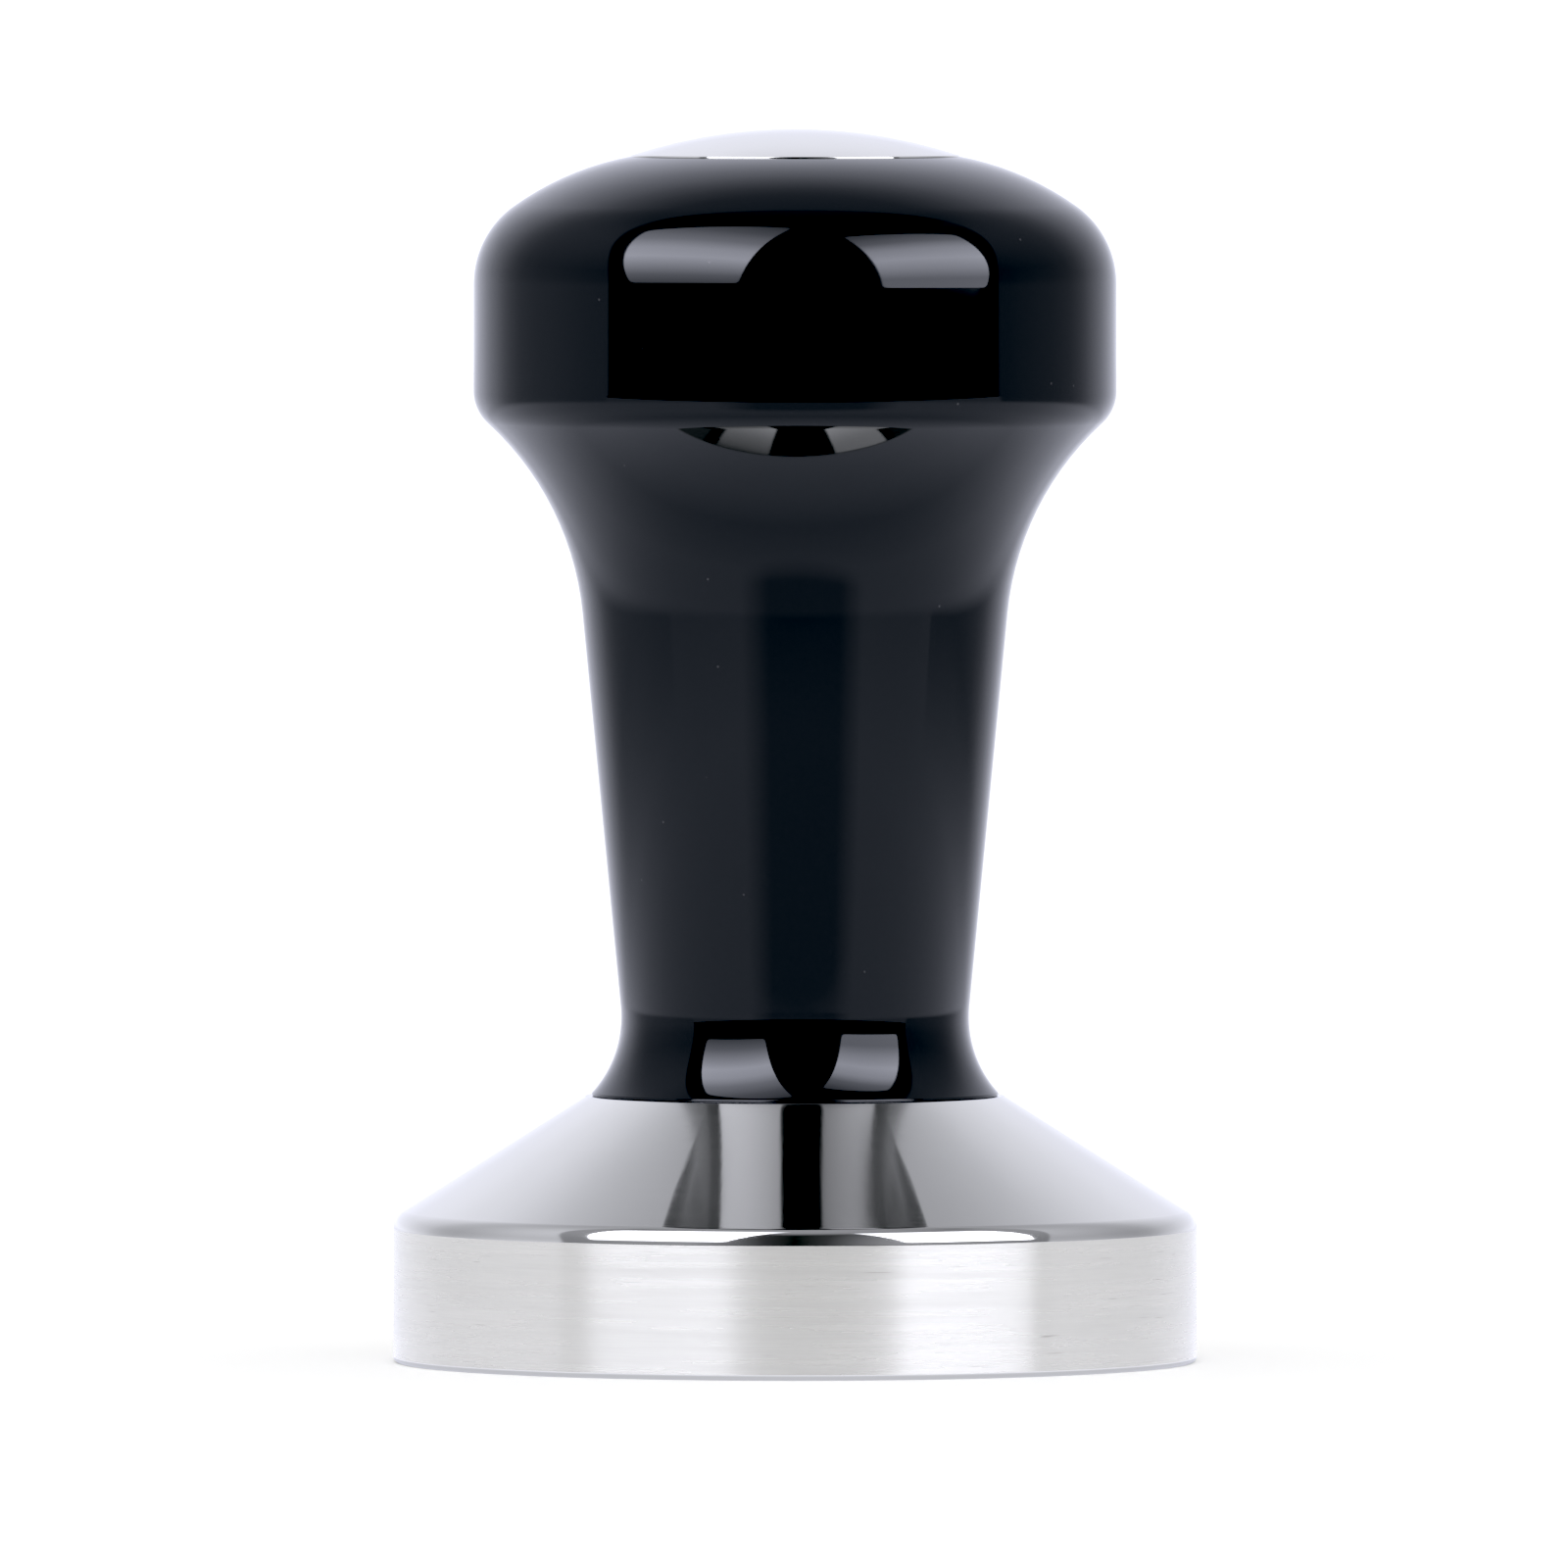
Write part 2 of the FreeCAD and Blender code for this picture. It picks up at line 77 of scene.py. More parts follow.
# Sizes that no box of a CAD node gives. Lengths are in millimetres.
RIM_HEIGHT, RIM_ROUNDING, FACE_ROUNDING = 10.45, 1.5, 0.4
LAND_RADIUS, LAND_ROUNDING = 15.1, 0.2
DRILL_DEPTH, DRILL_POINT, HOLE_CHAMFER = 2, math.radians(59), 0.5
WAIST_RADIUS, WAIST_HEIGHT, FLARE_RADIUS, FOOT_ROUNDING = 12.55, 5.7, 8.15, 0.15
TAPER_ANGLE, NECK_RADIUS, SHOULDER_RADIUS = math.radians(5.55), 21.4, 3.2
HEAD_START, HEAD_END = 50.9, 58.6
CROWN_EDGE_RADIUS, CROWN_RADIUS = 6.9, 21.2
CAP_WALL, CAP_EDGE = 2.18, 0.06
SPIGOT_RADIUS, SPIGOT_LENGTH, SPIGOT_GAP = 4.0, 8.0, 0.1
SPIGOT_ROUNDING, SPIGOT_FILLET = 0.4, 0.2
PAD_GAP, PAD_ROUNDING = 0.5, 0.08
RING_RADIUS, RING_SECTION, RUNNING_GAP = 10.5, 2.0, 0.05
RING_FLASH, GROOVE_ROUNDING = math.radians(4), 0.2
THREAD_RADIUS, THREAD_PITCH = 4.0, 1.25
STUD_CREST, STUD_ROOT, STUD_CHAMFER = THREAD_RADIUS - 0.05, THREAD_RADIUS - 0.75, 0.1
INSERT_CREST, INSERT_ROOT, INSERT_LEAD_IN = THREAD_RADIUS - 0.6, THREAD_RADIUS + 0.08, 0.3
COARSE_PITCH, COARSE_DEPTH, COARSE_CHAMFER = 2.5, 0.7, 0.8
SOCKET_FLATS, SOCKET_DEPTH, SOCKET_POINT = 4.0, 4.5, math.radians(31)
SLOT_WIDTH, SLOT_DEPTH = 1.6, 1.8
EDGE_BREAK = 0.1


# ---------------------------------------------------------------- outlines

def line(first, last, material=0):
    """A straight run of an outline: samples of (place, outward normal), and a material slot."""
    run = (Vector(last) - Vector(first)).normalized()
    normal = Vector((run.y, -run.x))
    return [(Vector(first), normal), (Vector(last), normal)], material


def arc(centre, size, first, last, material=0):
    """A round run from one angle to another.
    It bulges out where the angle grows, and is hollow where it falls."""
    steps = max(2, math.ceil(abs(last - first) / ARC_STEP))
    side = 1 if last > first else -1
    samples = []
    for step in range(steps + 1):
        angle = first + (last - first) * step / steps
        spoke = Vector((math.cos(angle), math.sin(angle)))
        samples.append((Vector(centre) + size * spoke, side * spoke))
    return samples, material


def rounded(corners, closed=False):
    """Runs through (across, up, rounding, material) corners.
    The material is that of the rounding and of the run that leaves it, or a pair of the two."""
    count = len(corners)
    runs, starts, ends = [], {}, {}
    arcs = {}
    for i, (across, up, size, _) in enumerate(corners):
        here = Vector((across, up))
        if not size or (not closed and i in (0, count - 1)):
            starts[i] = ends[i] = here
            continue
        before = (here - Vector(corners[i - 1][:2])).normalized()
        after = (Vector(corners[(i + 1) % count][:2]) - here).normalized()
        bend = math.atan2(before.x * after.y - before.y * after.x, before.dot(after))
        trim = size * math.tan(abs(bend) / 2)
        ends[i], starts[i] = here - before * trim, here + after * trim
        side = 1 if bend > 0 else -1
        centre = ends[i] + Vector((-before.y, before.x)) * size * side
        spoke = ends[i] - centre
        turn = math.atan2(spoke.y, spoke.x)
        arcs[i] = (centre, size, turn, turn + bend)
    for i in range(count if closed else count - 1):
        material = corners[i][3]
        bend_material, run_material = material if isinstance(material, tuple) else (material, material)
        if i in arcs:
            runs.append(arc(*arcs[i], bend_material))
        runs.append(line(starts[i], ends[(i + 1) % count], run_material))
    return runs


def piston_outline():
    """Tamping face, satin rim wall between its roundings, buffed cone, land and stud hole."""
    rim, land, hole = radius("piston"), high("piston"), THREAD_RADIUS
    bottom = low("stud") - DRILL_DEPTH
    face, satin, polished, buffed = 0, 1, 2, 3
    return rounded([
        (0, 0, 0, face),
        (rim, 0, FACE_ROUNDING, (polished, satin)),
        (rim, RIM_HEIGHT, RIM_ROUNDING, (polished, buffed)),
        (LAND_RADIUS, land, LAND_ROUNDING, face),
        (hole + HOLE_CHAMFER, land, 0, face),
        (hole, land - HOLE_CHAMFER, 0, face),
        (hole, bottom, 0, face),
        (0, bottom - hole / math.tan(DRILL_POINT), 0, face),
    ])


def flare(foot):
    """Centre of the foot's flare, the angle where it ends, and the centre of the foot's rounding."""
    centre = Vector((WAIST_RADIUS + FLARE_RADIUS, foot + WAIST_HEIGHT))
    reach = FLARE_RADIUS + FOOT_ROUNDING
    angle = math.pi + math.asin((WAIST_HEIGHT - FOOT_ROUNDING) / reach)
    return centre, angle, centre + Vector((math.cos(angle), math.sin(angle))) * reach


def handle_side(foot, head, top):
    """The handle's outside, from the edge of its foot to the edge of the cap."""
    flare_centre, foot_angle, edge_centre = flare(foot)
    along = Vector((math.sin(TAPER_ANGLE), math.cos(TAPER_ANGLE)))
    outwards = Vector((along.y, -along.x))
    grip_start = flare_centre - outwards * FLARE_RADIUS

    shoulder_centre = Vector((head - SHOULDER_RADIUS, foot + HEAD_START))
    offset = shoulder_centre - grip_start
    reach = math.sqrt((NECK_RADIUS + SHOULDER_RADIUS) ** 2 - (NECK_RADIUS - offset.dot(outwards)) ** 2)
    grip_end = grip_start + along * (offset.dot(along) - reach)
    neck_centre = grip_end + outwards * NECK_RADIUS
    neck_spoke = shoulder_centre - neck_centre
    neck_angle = math.atan2(neck_spoke.y, neck_spoke.x)

    rim_centre = Vector((head - CROWN_EDGE_RADIUS, foot + HEAD_END))
    span = Vector((radius("cap"), top)) - rim_centre
    gap = CROWN_RADIUS - CROWN_EDGE_RADIUS
    bend = math.acos((gap ** 2 + span.length_squared - CROWN_RADIUS ** 2) / (2 * gap * span.length))
    away = math.atan2(span.y, span.x) + bend
    crown_centre = rim_centre + Vector((math.cos(away), math.sin(away))) * gap
    cap_spoke = Vector((radius("cap"), top)) - crown_centre
    crown_start, crown_end = away - math.pi, math.atan2(cap_spoke.y, cap_spoke.x)

    return [
        arc(edge_centre, FOOT_ROUNDING, -math.pi / 2, foot_angle - math.pi),
        arc(flare_centre, FLARE_RADIUS, foot_angle, math.pi - TAPER_ANGLE),
        line(grip_start, grip_end),
        arc(neck_centre, NECK_RADIUS, math.pi - TAPER_ANGLE, neck_angle),
        arc(shoulder_centre, SHOULDER_RADIUS, neck_angle - math.pi, 0),
        line((head, shoulder_centre.y), (head, rim_centre.y)),
        arc(rim_centre, CROWN_EDGE_RADIUS, 0, crown_start),
        arc(crown_centre, CROWN_RADIUS, crown_start, crown_end),
    ]


def handle_underside(foot):
    """The bores for insert and stud, then the foot with its groove for the seal ring."""
    lacquered, bare = 0, 1
    insert, insert_top = radius("thread_insert"), high("thread_insert")
    groove = RING_SECTION / 2 + RUNNING_GAP
    groove_top = foot + 2 * groove - RUNNING_GAP
    _, _, edge_centre = flare(foot)
    return rounded([
        (0, insert_top + THREAD_PITCH, 0, bare),
        (THREAD_RADIUS, insert_top + THREAD_PITCH, 0, bare),
        (THREAD_RADIUS, insert_top, 0, bare),
        (insert, insert_top, 0, bare),
        (insert, foot, 0, lacquered),
        (RING_RADIUS - groove, foot, 0, lacquered),
        (RING_RADIUS - groove, groove_top, GROOVE_ROUNDING, lacquered),
        (RING_RADIUS + groove, groove_top, GROOVE_ROUNDING, lacquered),
        (RING_RADIUS + groove, foot, 0, lacquered),
        (edge_centre.x, foot, 0, lacquered),
    ])


def cap_recess(top):
    """The recess for cap and pad, and the bore for the cap's spigot."""
    lacquered, bare = 0, 1
    cap, bottom = radius("cap"), low("cap_pad")
    spigot = SPIGOT_RADIUS + SPIGOT_GAP
    spigot_bottom = high("cap_pad") - SPIGOT_LENGTH - SPIGOT_GAP
    return rounded([
        (cap, top, 0, lacquered),
        (cap, bottom, 0, bare),
        (spigot, bottom, 0, bare),
        (spigot, spigot_bottom, 0, bare),
        (0, spigot_bottom, 0, bare),
    ])


def handle_outline():
    """Up from the foot's bores, over the outside, and down into the cap's recess."""
    foot, top = low("handle"), high("handle")
    return handle_underside(foot) + handle_side(foot, radius("handle"), top) + cap_recess(top)


def cap_outline():
    """Spigot, disc, its thin bright wall and the dome."""
    polished, faced = 0, 1
    rim, seat, top = radius("cap"), high("cap_pad"), high("cap")
    rise = top - (seat + CAP_WALL)
    dome = (rim ** 2 + rise ** 2) / (2 * rise)
    centre = Vector((0, top - dome))
    # The edge rounding touches the wall inside and the dome from within.
    edge_centre = Vector((rim - CAP_EDGE, 0))
    edge_centre.y = centre.y + math.sqrt((dome - CAP_EDGE) ** 2 - edge_centre.x ** 2)
    meet = math.atan2(edge_centre.y - centre.y, edge_centre.x)
    below = rounded([
        (0, seat - SPIGOT_LENGTH, 0, faced),
        (SPIGOT_RADIUS, seat - SPIGOT_LENGTH, SPIGOT_ROUNDING, faced),
        (SPIGOT_RADIUS, seat, SPIGOT_FILLET, faced),
        (rim, seat, EDGE_BREAK, polished),
        (rim, edge_centre.y, 0, polished),
    ])
    return below + [arc(edge_centre, CAP_EDGE, 0, meet), arc(centre, dome, meet, math.pi / 2)]


def pad_outline():
    """Foam ring with soft edges."""
    inner, outer = SPIGOT_RADIUS + PAD_GAP, radius("cap_pad")
    bottom, top = low("cap_pad"), high("cap_pad")
    corners = [(inner, bottom), (outer, bottom), (outer, top), (inner, top)]
    return rounded([(across, up, PAD_ROUNDING, 0) for across, up in corners], closed=True)


def ring_outline():
    """O-ring section with the faint flash line that its mould leaves inside and outside."""
    size = RING_SECTION / 2
    middle = Vector((RING_RADIUS, low("seal_ring") + size))
    runs = []
    for side in (0, math.pi):
        first, last = side + RING_FLASH, side + math.pi - RING_FLASH
        tip = middle + Vector((math.cos(side + math.pi), 0)) * size
        before, after = (middle + Vector((math.cos(turn), math.sin(turn))) * size
                         for turn in (last, last + 2 * RING_FLASH))
        runs.append(arc(middle, size, first, last))
        runs.append(line(before, tip))
        runs.append(line(tip, after))
    return runs


# ---------------------------------------------------------------- meshes

def new_piece(name, mesh, materials, body, node):
    """Link a mesh as a piece that rides on a CAD body and stands for a CAD node."""
    piece = bpy.data.objects.new(name, mesh)
    bpy.context.scene.collection.objects.link(piece)
    for material in materials:
        mesh.materials.append(material)
    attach(piece, body)
    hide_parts(node)
    return piece


def turned_mesh(name, runs):
    """Turn an outline round the axis, with the outline's own normals at every corner of every face."""
    points, sections = [], []
    for samples, material in runs:
        for (first, first_normal), (last, last_normal) in zip(samples, samples[1:]):
            if not points:
                points.append(first)
            closing = (last - points[0]).length < SAME_PLACE and len(points) > 2
            if not closing:
                points.append(last)
            index = 0 if closing else len(points) - 1
            sections.append((len(points) - 1 - (not closing), index, first_normal, last_normal, material))
    turns = [2 * math.pi * step / TURN_STEPS for step in range(TURN_STEPS)]
    vertices, rings = [], []
    for point in points:
        steps = 1 if point.x < SAME_PLACE else TURN_STEPS
        rings.append((len(vertices), steps))
        for turn in turns[:steps]:
            vertices.append((point.x * math.cos(turn) * MM, point.x * math.sin(turn) * MM, point.y * MM))
    faces, normals, slots = [], [], []
    for lower, upper, lower_normal, upper_normal, material in sections:
        (base, base_steps), (over, over_steps) = rings[lower], rings[upper]
        for step in range(TURN_STEPS):
            following = (step + 1) % TURN_STEPS
            corners = [(base + step % base_steps, step, lower_normal),
                       (base + following % base_steps, following, lower_normal),
                       (over + following % over_steps, following, upper_normal),
                       (over + step % over_steps, step, upper_normal)]
            if base_steps == 1:
                corners = [corners[0]] + corners[2:]
            elif over_steps == 1:
                corners = corners[:3]
            faces.append([corner[0] for corner in corners])
            slots.append(material)
            for _, turn_step, normal in corners:
                turn = turns[turn_step]
                normals.append((normal.x * math.cos(turn), normal.x * math.sin(turn), normal.y))
    mesh = bpy.data.meshes.new(name)
    mesh.from_pydata(vertices, [], faces)
    mesh.polygons.foreach_set("use_smooth", [True] * len(faces))
    mesh.polygons.foreach_set("material_index", slots)
    mesh.normals_split_custom_set(normals)
    mesh.update()
    return mesh


def thread_form(share, root, crest):
    """Radius of a 60 degree thread at a share of its pitch, with flats at root and crest."""
    crest_flat, root_flat = 0.14, 0.22
    away = abs((share % 1) - 0.5) * 2
    flank = (away - crest_flat) / (1 - crest_flat - root_flat)
    return crest + (root - crest) * min(1, max(0, flank))


def thread_shell(shape, bottom, top, pitch, radius_at):
    """Add a right-hand helical sheet whose rows follow the thread, cut off level at both ends."""
    start = math.floor(bottom / pitch) - 2
    rows = (math.ceil(top / pitch) + 1 - start) * THREAD_ROWS
    grid = []
    for row in range(rows + 1):
        ring = []
        for step in range(THREAD_STEPS):
            height = (start + row / THREAD_ROWS + step / THREAD_STEPS) * pitch
            turn = 2 * math.pi * step / THREAD_STEPS
            size = radius_at(row / THREAD_ROWS, height)
            ring.append(shape.verts.new((size * math.cos(turn), size * math.sin(turn), height)))
        grid.append(ring)
    faces = []
    for row in range(rows):
        for step in range(THREAD_STEPS):
            wrap = THREAD_ROWS if step == THREAD_STEPS - 1 else 0
            if row + wrap + 1 > rows:
                continue
            following = (step + 1) % THREAD_STEPS
            faces.append(shape.faces.new((grid[row][step], grid[row + wrap][following],
                                          grid[row + wrap + 1][following], grid[row + 1][step])))
    shape.verts.ensure_lookup_table()
    for height, clear in ((bottom, "clear_inner"), (top, "clear_outer")):
        whole = [face for face in faces if face.is_valid]
        # Dictionaries keep their order, where sets don't, so every run gives the same mesh.
        edges = dict.fromkeys(edge for face in whole for edge in face.edges)
        members = dict.fromkeys(vertex for face in whole for vertex in face.verts)
        parts = [*whole, *edges, *members]
        cut = bmesh.ops.bisect_plane(shape, geom=parts, dist=SAME_PLACE, plane_co=(0, 0, height),
                                     plane_no=(0, 0, 1), **{clear: True})
        faces = [item for item in cut["geom"] if isinstance(item, bmesh.types.BMFace)]
    loose = [v for v in shape.verts if not v.link_faces]
    bmesh.ops.delete(shape, geom=loose, context="VERTS")


def level_edges(shape, height):
    """The open edges that lie at one height."""
    found = []
    for edge in shape.edges:
        if edge.is_boundary and all(abs(vertex.co.z - height) < LEVEL for vertex in edge.verts):
            found.append(edge)
    return found


def finish_mesh(name, shape):
    """Turn a millimetre bmesh into a mesh in metres, with smooth faces and crisp edges."""
    bmesh.ops.remove_doubles(shape, verts=shape.verts, dist=WELD)
    bmesh.ops.recalc_face_normals(shape, faces=shape.faces)
    bmesh.ops.scale(shape, vec=(MM, MM, MM), verts=shape.verts)
    mesh = bpy.data.meshes.new(name)
    shape.to_mesh(mesh)
    shape.free()
    mesh.polygons.foreach_set("use_smooth", [True] * len(mesh.polygons))
    mesh.set_sharp_from_angle(angle=CREASE)
    return mesh


def stud_mesh():
    """Set screw with a real thread, chamfered ends and a hex socket."""
    bottom, top = low("stud"), high("stud")
    end = STUD_ROOT - STUD_CHAMFER

    def size(share, height):
        into = min(height - bottom, top - height)
        return min(thread_form(share, STUD_ROOT, STUD_CREST), end + max(0, into))

    shape = bmesh.new()
    thread_shell(shape, bottom, top, THREAD_PITCH, size)
    bmesh.ops.edgeloop_fill(shape, edges=level_edges(shape, bottom))
    reach = SOCKET_FLATS / math.sqrt(3)
    turns = [math.pi * corner / 3 for corner in range(6)]
    mouth = [shape.verts.new((reach * math.cos(turn), reach * math.sin(turn), top)) for turn in turns]
    floor_corners = [shape.verts.new((vertex.co.x, vertex.co.y, top - SOCKET_DEPTH)) for vertex in mouth]
    tip = shape.verts.new((0, 0, top - SOCKET_DEPTH - reach * math.tan(SOCKET_POINT)))
    rim = [shape.edges.new((mouth[corner - 1], mouth[corner])) for corner in range(6)]
    bmesh.ops.triangle_fill(shape, use_beauty=True, edges=level_edges(shape, top) + rim)
    for corner in range(6):
        first, last = floor_corners[corner - 1], floor_corners[corner]
        shape.faces.new((mouth[corner - 1], mouth[corner], last, first))
        shape.faces.new((first, last, tip))
    return finish_mesh("stud", shape)


def insert_mesh():
    """Brass bush with the M8 thread inside, a coarse wood thread outside and a driving slot."""
    bottom, top = low("thread_insert"), high("thread_insert")
    outer = radius("thread_insert")
    lead_in = INSERT_ROOT + INSERT_LEAD_IN
    crest_flat, flank = 0.08, 0.35      # shares of half the coarse pitch

    def inner_size(share, height):
        into = min(height - bottom, top - height)
        return max(thread_form(share, INSERT_ROOT, INSERT_CREST), lead_in - max(0, into))

    def outer_size(share, height):
        into = min(height - bottom, top - height)
        away = abs((share % 1) - 0.5) * 2
        groove = outer - COARSE_DEPTH * min(1, max(0, (away - crest_flat) / flank))
        return min(groove, outer - COARSE_CHAMFER + max(0, into))

    shape = bmesh.new()
    thread_shell(shape, bottom, top, THREAD_PITCH, inner_size)
    thread_shell(shape, bottom, top, COARSE_PITCH, outer_size)
    for height in (bottom, top):
        bmesh.ops.triangle_fill(shape, use_beauty=True, edges=level_edges(shape, height))
    return cut_slot(finish_mesh("thread_insert", shape), outer, bottom)


def cut_slot(mesh, outer, bottom):
    """Cut the driving slot across the insert's mouth."""
    body = bpy.data.objects.new("insert_blank", mesh)
    cutter_mesh = bpy.data.meshes.new("slot_cutter")
    shape = bmesh.new()
    bmesh.ops.create_cube(shape, size=1)
    bmesh.ops.scale(shape, vec=(3 * outer * MM, SLOT_WIDTH * MM, 2 * SLOT_DEPTH * MM), verts=shape.verts)
    bmesh.ops.translate(shape, vec=(0, 0, bottom * MM), verts=shape.verts)
    shape.to_mesh(cutter_mesh)
    shape.free()
    cutter = bpy.data.objects.new("slot_cutter", cutter_mesh)
    for item in (body, cutter):
        bpy.context.scene.collection.objects.link(item)
    cut = body.modifiers.new("slot", "BOOLEAN")
    cut.operation = "DIFFERENCE"
    cut.object = cutter
    cut.solver = "EXACT"
    depsgraph = bpy.context.evaluated_depsgraph_get()
    result = bpy.data.meshes.new_from_object(body.evaluated_get(depsgraph), depsgraph=depsgraph)
    for item in (body, cutter):
        bpy.data.objects.remove(item)
    result.name = "thread_insert_slotted"
    result.set_sharp_from_angle(angle=CREASE)
    return result


# ---------------------------------------------------------------- materials

# Colours. Those that a pattern runs between are (dark, light) pairs.
SATIN, SCRATCH = ((0.69, 0.68, 0.645), (0.765, 0.755, 0.715)), (0.36, 0.34, 0.32)
POLISHED = (0.73, 0.72, 0.665), (0.77, 0.76, 0.70)
BUFFED = (0.77, 0.76, 0.70), (0.81, 0.80, 0.74)
FACED = (0.63, 0.63, 0.64), (0.74, 0.74, 0.75)
LACQUER, DUST = (0.0045, 0.0045, 0.0055), (0.05, 0.05, 0.055)
BEECH = (0.33, 0.17, 0.08), (0.62, 0.40, 0.23)
SCREW = (0.36, 0.35, 0.34), (0.62, 0.61, 0.60)
BRASS = (0.62, 0.40, 0.14), (0.86, 0.64, 0.30)
RUBBER = (0.012, 0.012, 0.013), (0.035, 0.035, 0.037)
FOAM = (0.62, 0.60, 0.54), (0.80, 0.78, 0.72)

NOISE_LOW, NOISE_HIGH = 0.3, 0.7        # nearly all of a noise lies between these
ACROSS_MARKS = 0.25                     # turn of the blur, so that it runs across turning marks


def add_node(tree, kind, inputs=(), **settings):
    """Add a shader node. An input's content is a number, a colour or another node's socket."""
    node = tree.nodes.new(kind)
    for setting, content in settings.items():
        setattr(node, setting, content)
    for name, content in dict(inputs).items():
        if isinstance(content, bpy.types.NodeSocket):
            tree.links.new(content, node.inputs[name])
        else:
            node.inputs[name].default_value = content
    return node


def maths(tree, operation, *terms):
    """One sum of a Math node."""
    node = add_node(tree, "ShaderNodeMath", dict(enumerate(terms)), operation=operation)
    return node.outputs[0]


def spread(tree, source, first, last, start, end):
    """Map a value from one range to another, and keep it in there."""
    inputs = {"Value": source, "From Min": first, "From Max": last, "To Min": start, "To Max": end}
    return add_node(tree, "ShaderNodeMapRange", inputs).outputs["Result"]


def noise(tree, place, scale=1.0, detail=2.0, roughness=0.5):
    """Noise from 0 to 1 at a place."""
    inputs = {"Vector": place, "Scale": scale, "Detail": detail, "Roughness": roughness}
    return add_node(tree, "ShaderNodeTexNoise", inputs).outputs["Fac"]


def between(tree, pattern, low_end, high_end):
    """Stretch a noise so that it runs between two values."""
    return spread(tree, pattern, NOISE_LOW, NOISE_HIGH, low_end, high_end)


def object_place(tree):
    """The place on the piece, in metres, which moves with the piece."""
    return add_node(tree, "ShaderNodeTexCoord").outputs["Object"]


def along_cut(tree, length, width):
    """A place stretched along the marks that turning leaves, which run round the axis.
    length and width are the size of a mark along and across it, in metres."""
    parts = add_node(tree, "ShaderNodeSeparateXYZ", {0: object_place(tree)}).outputs
    out = maths(tree, "SQRT", maths(tree, "ADD", maths(tree, "MULTIPLY", parts[0], parts[0]),
                                    maths(tree, "MULTIPLY", parts[1], parts[1])))
    step = maths(tree, "SUBTRACT", parts[2], out)
    joined = add_node(tree, "ShaderNodeCombineXYZ", {
        0: maths(tree, "DIVIDE", parts[0], length),
        1: maths(tree, "DIVIDE", parts[1], length),
        2: maths(tree, "DIVIDE", step, width),
    })
    return joined.outputs[0]


def round_the_axis(tree):
    """The direction in which turning marks run."""
    return add_node(tree, "ShaderNodeTangent", direction_type="RADIAL", axis="Z").outputs[0]


def blend_colours(tree, share, first, last):
    """Mix two colours by a value. Each is a red, green, blue triple or another node's socket."""
    node = add_node(tree, "ShaderNodeMix", {"Factor": share}, data_type="RGBA")
    for socket, colour in ((node.inputs[6], first), (node.inputs[7], last)):
        if isinstance(colour, bpy.types.NodeSocket):
            tree.links.new(colour, socket)
        else:
            socket.default_value = (*colour, 1)
    return node.outputs[2]


def graph(tree, source, stops):
    """Read a value off a curve that is given as (place, level) stops."""
    peak = max(level for _, level in stops)
    first, last = stops[0][0], stops[-1][0]
    ramp = add_node(tree, "ShaderNodeValToRGB", {"Fac": spread(tree, source, first, last, 0.0, 1.0)})
    elements = ramp.color_ramp.elements
    elements.remove(elements[-1])
    for index, (place, level) in enumerate(stops):
        share, grey = (place - first) / (last - first), level / peak
        element = elements.new(share) if index else elements[0]
        element.position = share
        element.color = (grey, grey, grey, 1)
    return maths(tree, "MULTIPLY", ramp.outputs[0], peak)


def bump(tree, height, distance, strength=1.0):
    """A surface normal from a height."""
    return add_node(tree, "ShaderNodeBump", {"Height": height, "Distance": distance,
                                             "Strength": strength}).outputs[0]


def start_material(name, **inputs):
    """A material with a Principled surface and the inputs given by name."""
    material = bpy.data.materials.new(name)
    material.use_nodes = True
    surface = material.node_tree.nodes["Principled BSDF"]
    for socket, content in inputs.items():
        surface.inputs[socket.replace("_", " ")].default_value = content
    return material, material.node_tree, surface


def connect(tree, surface, **sockets):
    """Link sockets to a surface's inputs by name."""
    for name, source in sockets.items():
        tree.links.new(source, surface.inputs[name.replace("_", " ")])


def satin_steel():
    """Rim wall: fine turning lines, longer faint bands and a few short darker scratches.
    Its finest scratches scatter light every way, which the part that is not metallic stands for."""
    material, tree, surface = start_material("satin_steel", Metallic=0.55, Anisotropic=1.0,
                                             Anisotropic_Rotation=ACROSS_MARKS, Specular_IOR_Level=0.1)
    lines = between(tree, noise(tree, along_cut(tree, length=0.005, width=0.00010)), 0.0, 1.0)
    bands = between(tree, noise(tree, along_cut(tree, length=0.016, width=0.0006), detail=3.0), 0.0, 1.0)
    marks = noise(tree, along_cut(tree, length=0.0040, width=0.00011), detail=0.0)
    scratch = spread(tree, marks, 0.80, 0.86, 0.0, 0.6)
    tone = maths(tree, "ADD", maths(tree, "MULTIPLY", lines, 0.5), maths(tree, "MULTIPLY", bands, 0.5))
    brushed = blend_colours(tree, tone, *SATIN)
    connect(tree, surface, Base_Color=blend_colours(tree, scratch, brushed, SCRATCH),
            Roughness=spread(tree, bands, 0.0, 1.0, 0.25, 0.29),
            Normal=bump(tree, lines, distance=0.000001, strength=0.3),
            Tangent=round_the_axis(tree))
    return material


def polished_steel(name="polished_steel"):
    """Rim roundings and cap: mirror polish with the faintest rings left by the polishing wheel."""
    material, tree, surface = start_material(name, Metallic=1.0)
    rings = noise(tree, along_cut(tree, length=0.05, width=0.0006), detail=3.0)
    haze = noise(tree, object_place(tree), scale=160.0, detail=3.0)
    connect(tree, surface, Base_Color=blend_colours(tree, haze, *POLISHED),
            Roughness=between(tree, haze, 0.05, 0.075),
            Normal=bump(tree, rings, distance=0.0000012, strength=0.35))
    return material


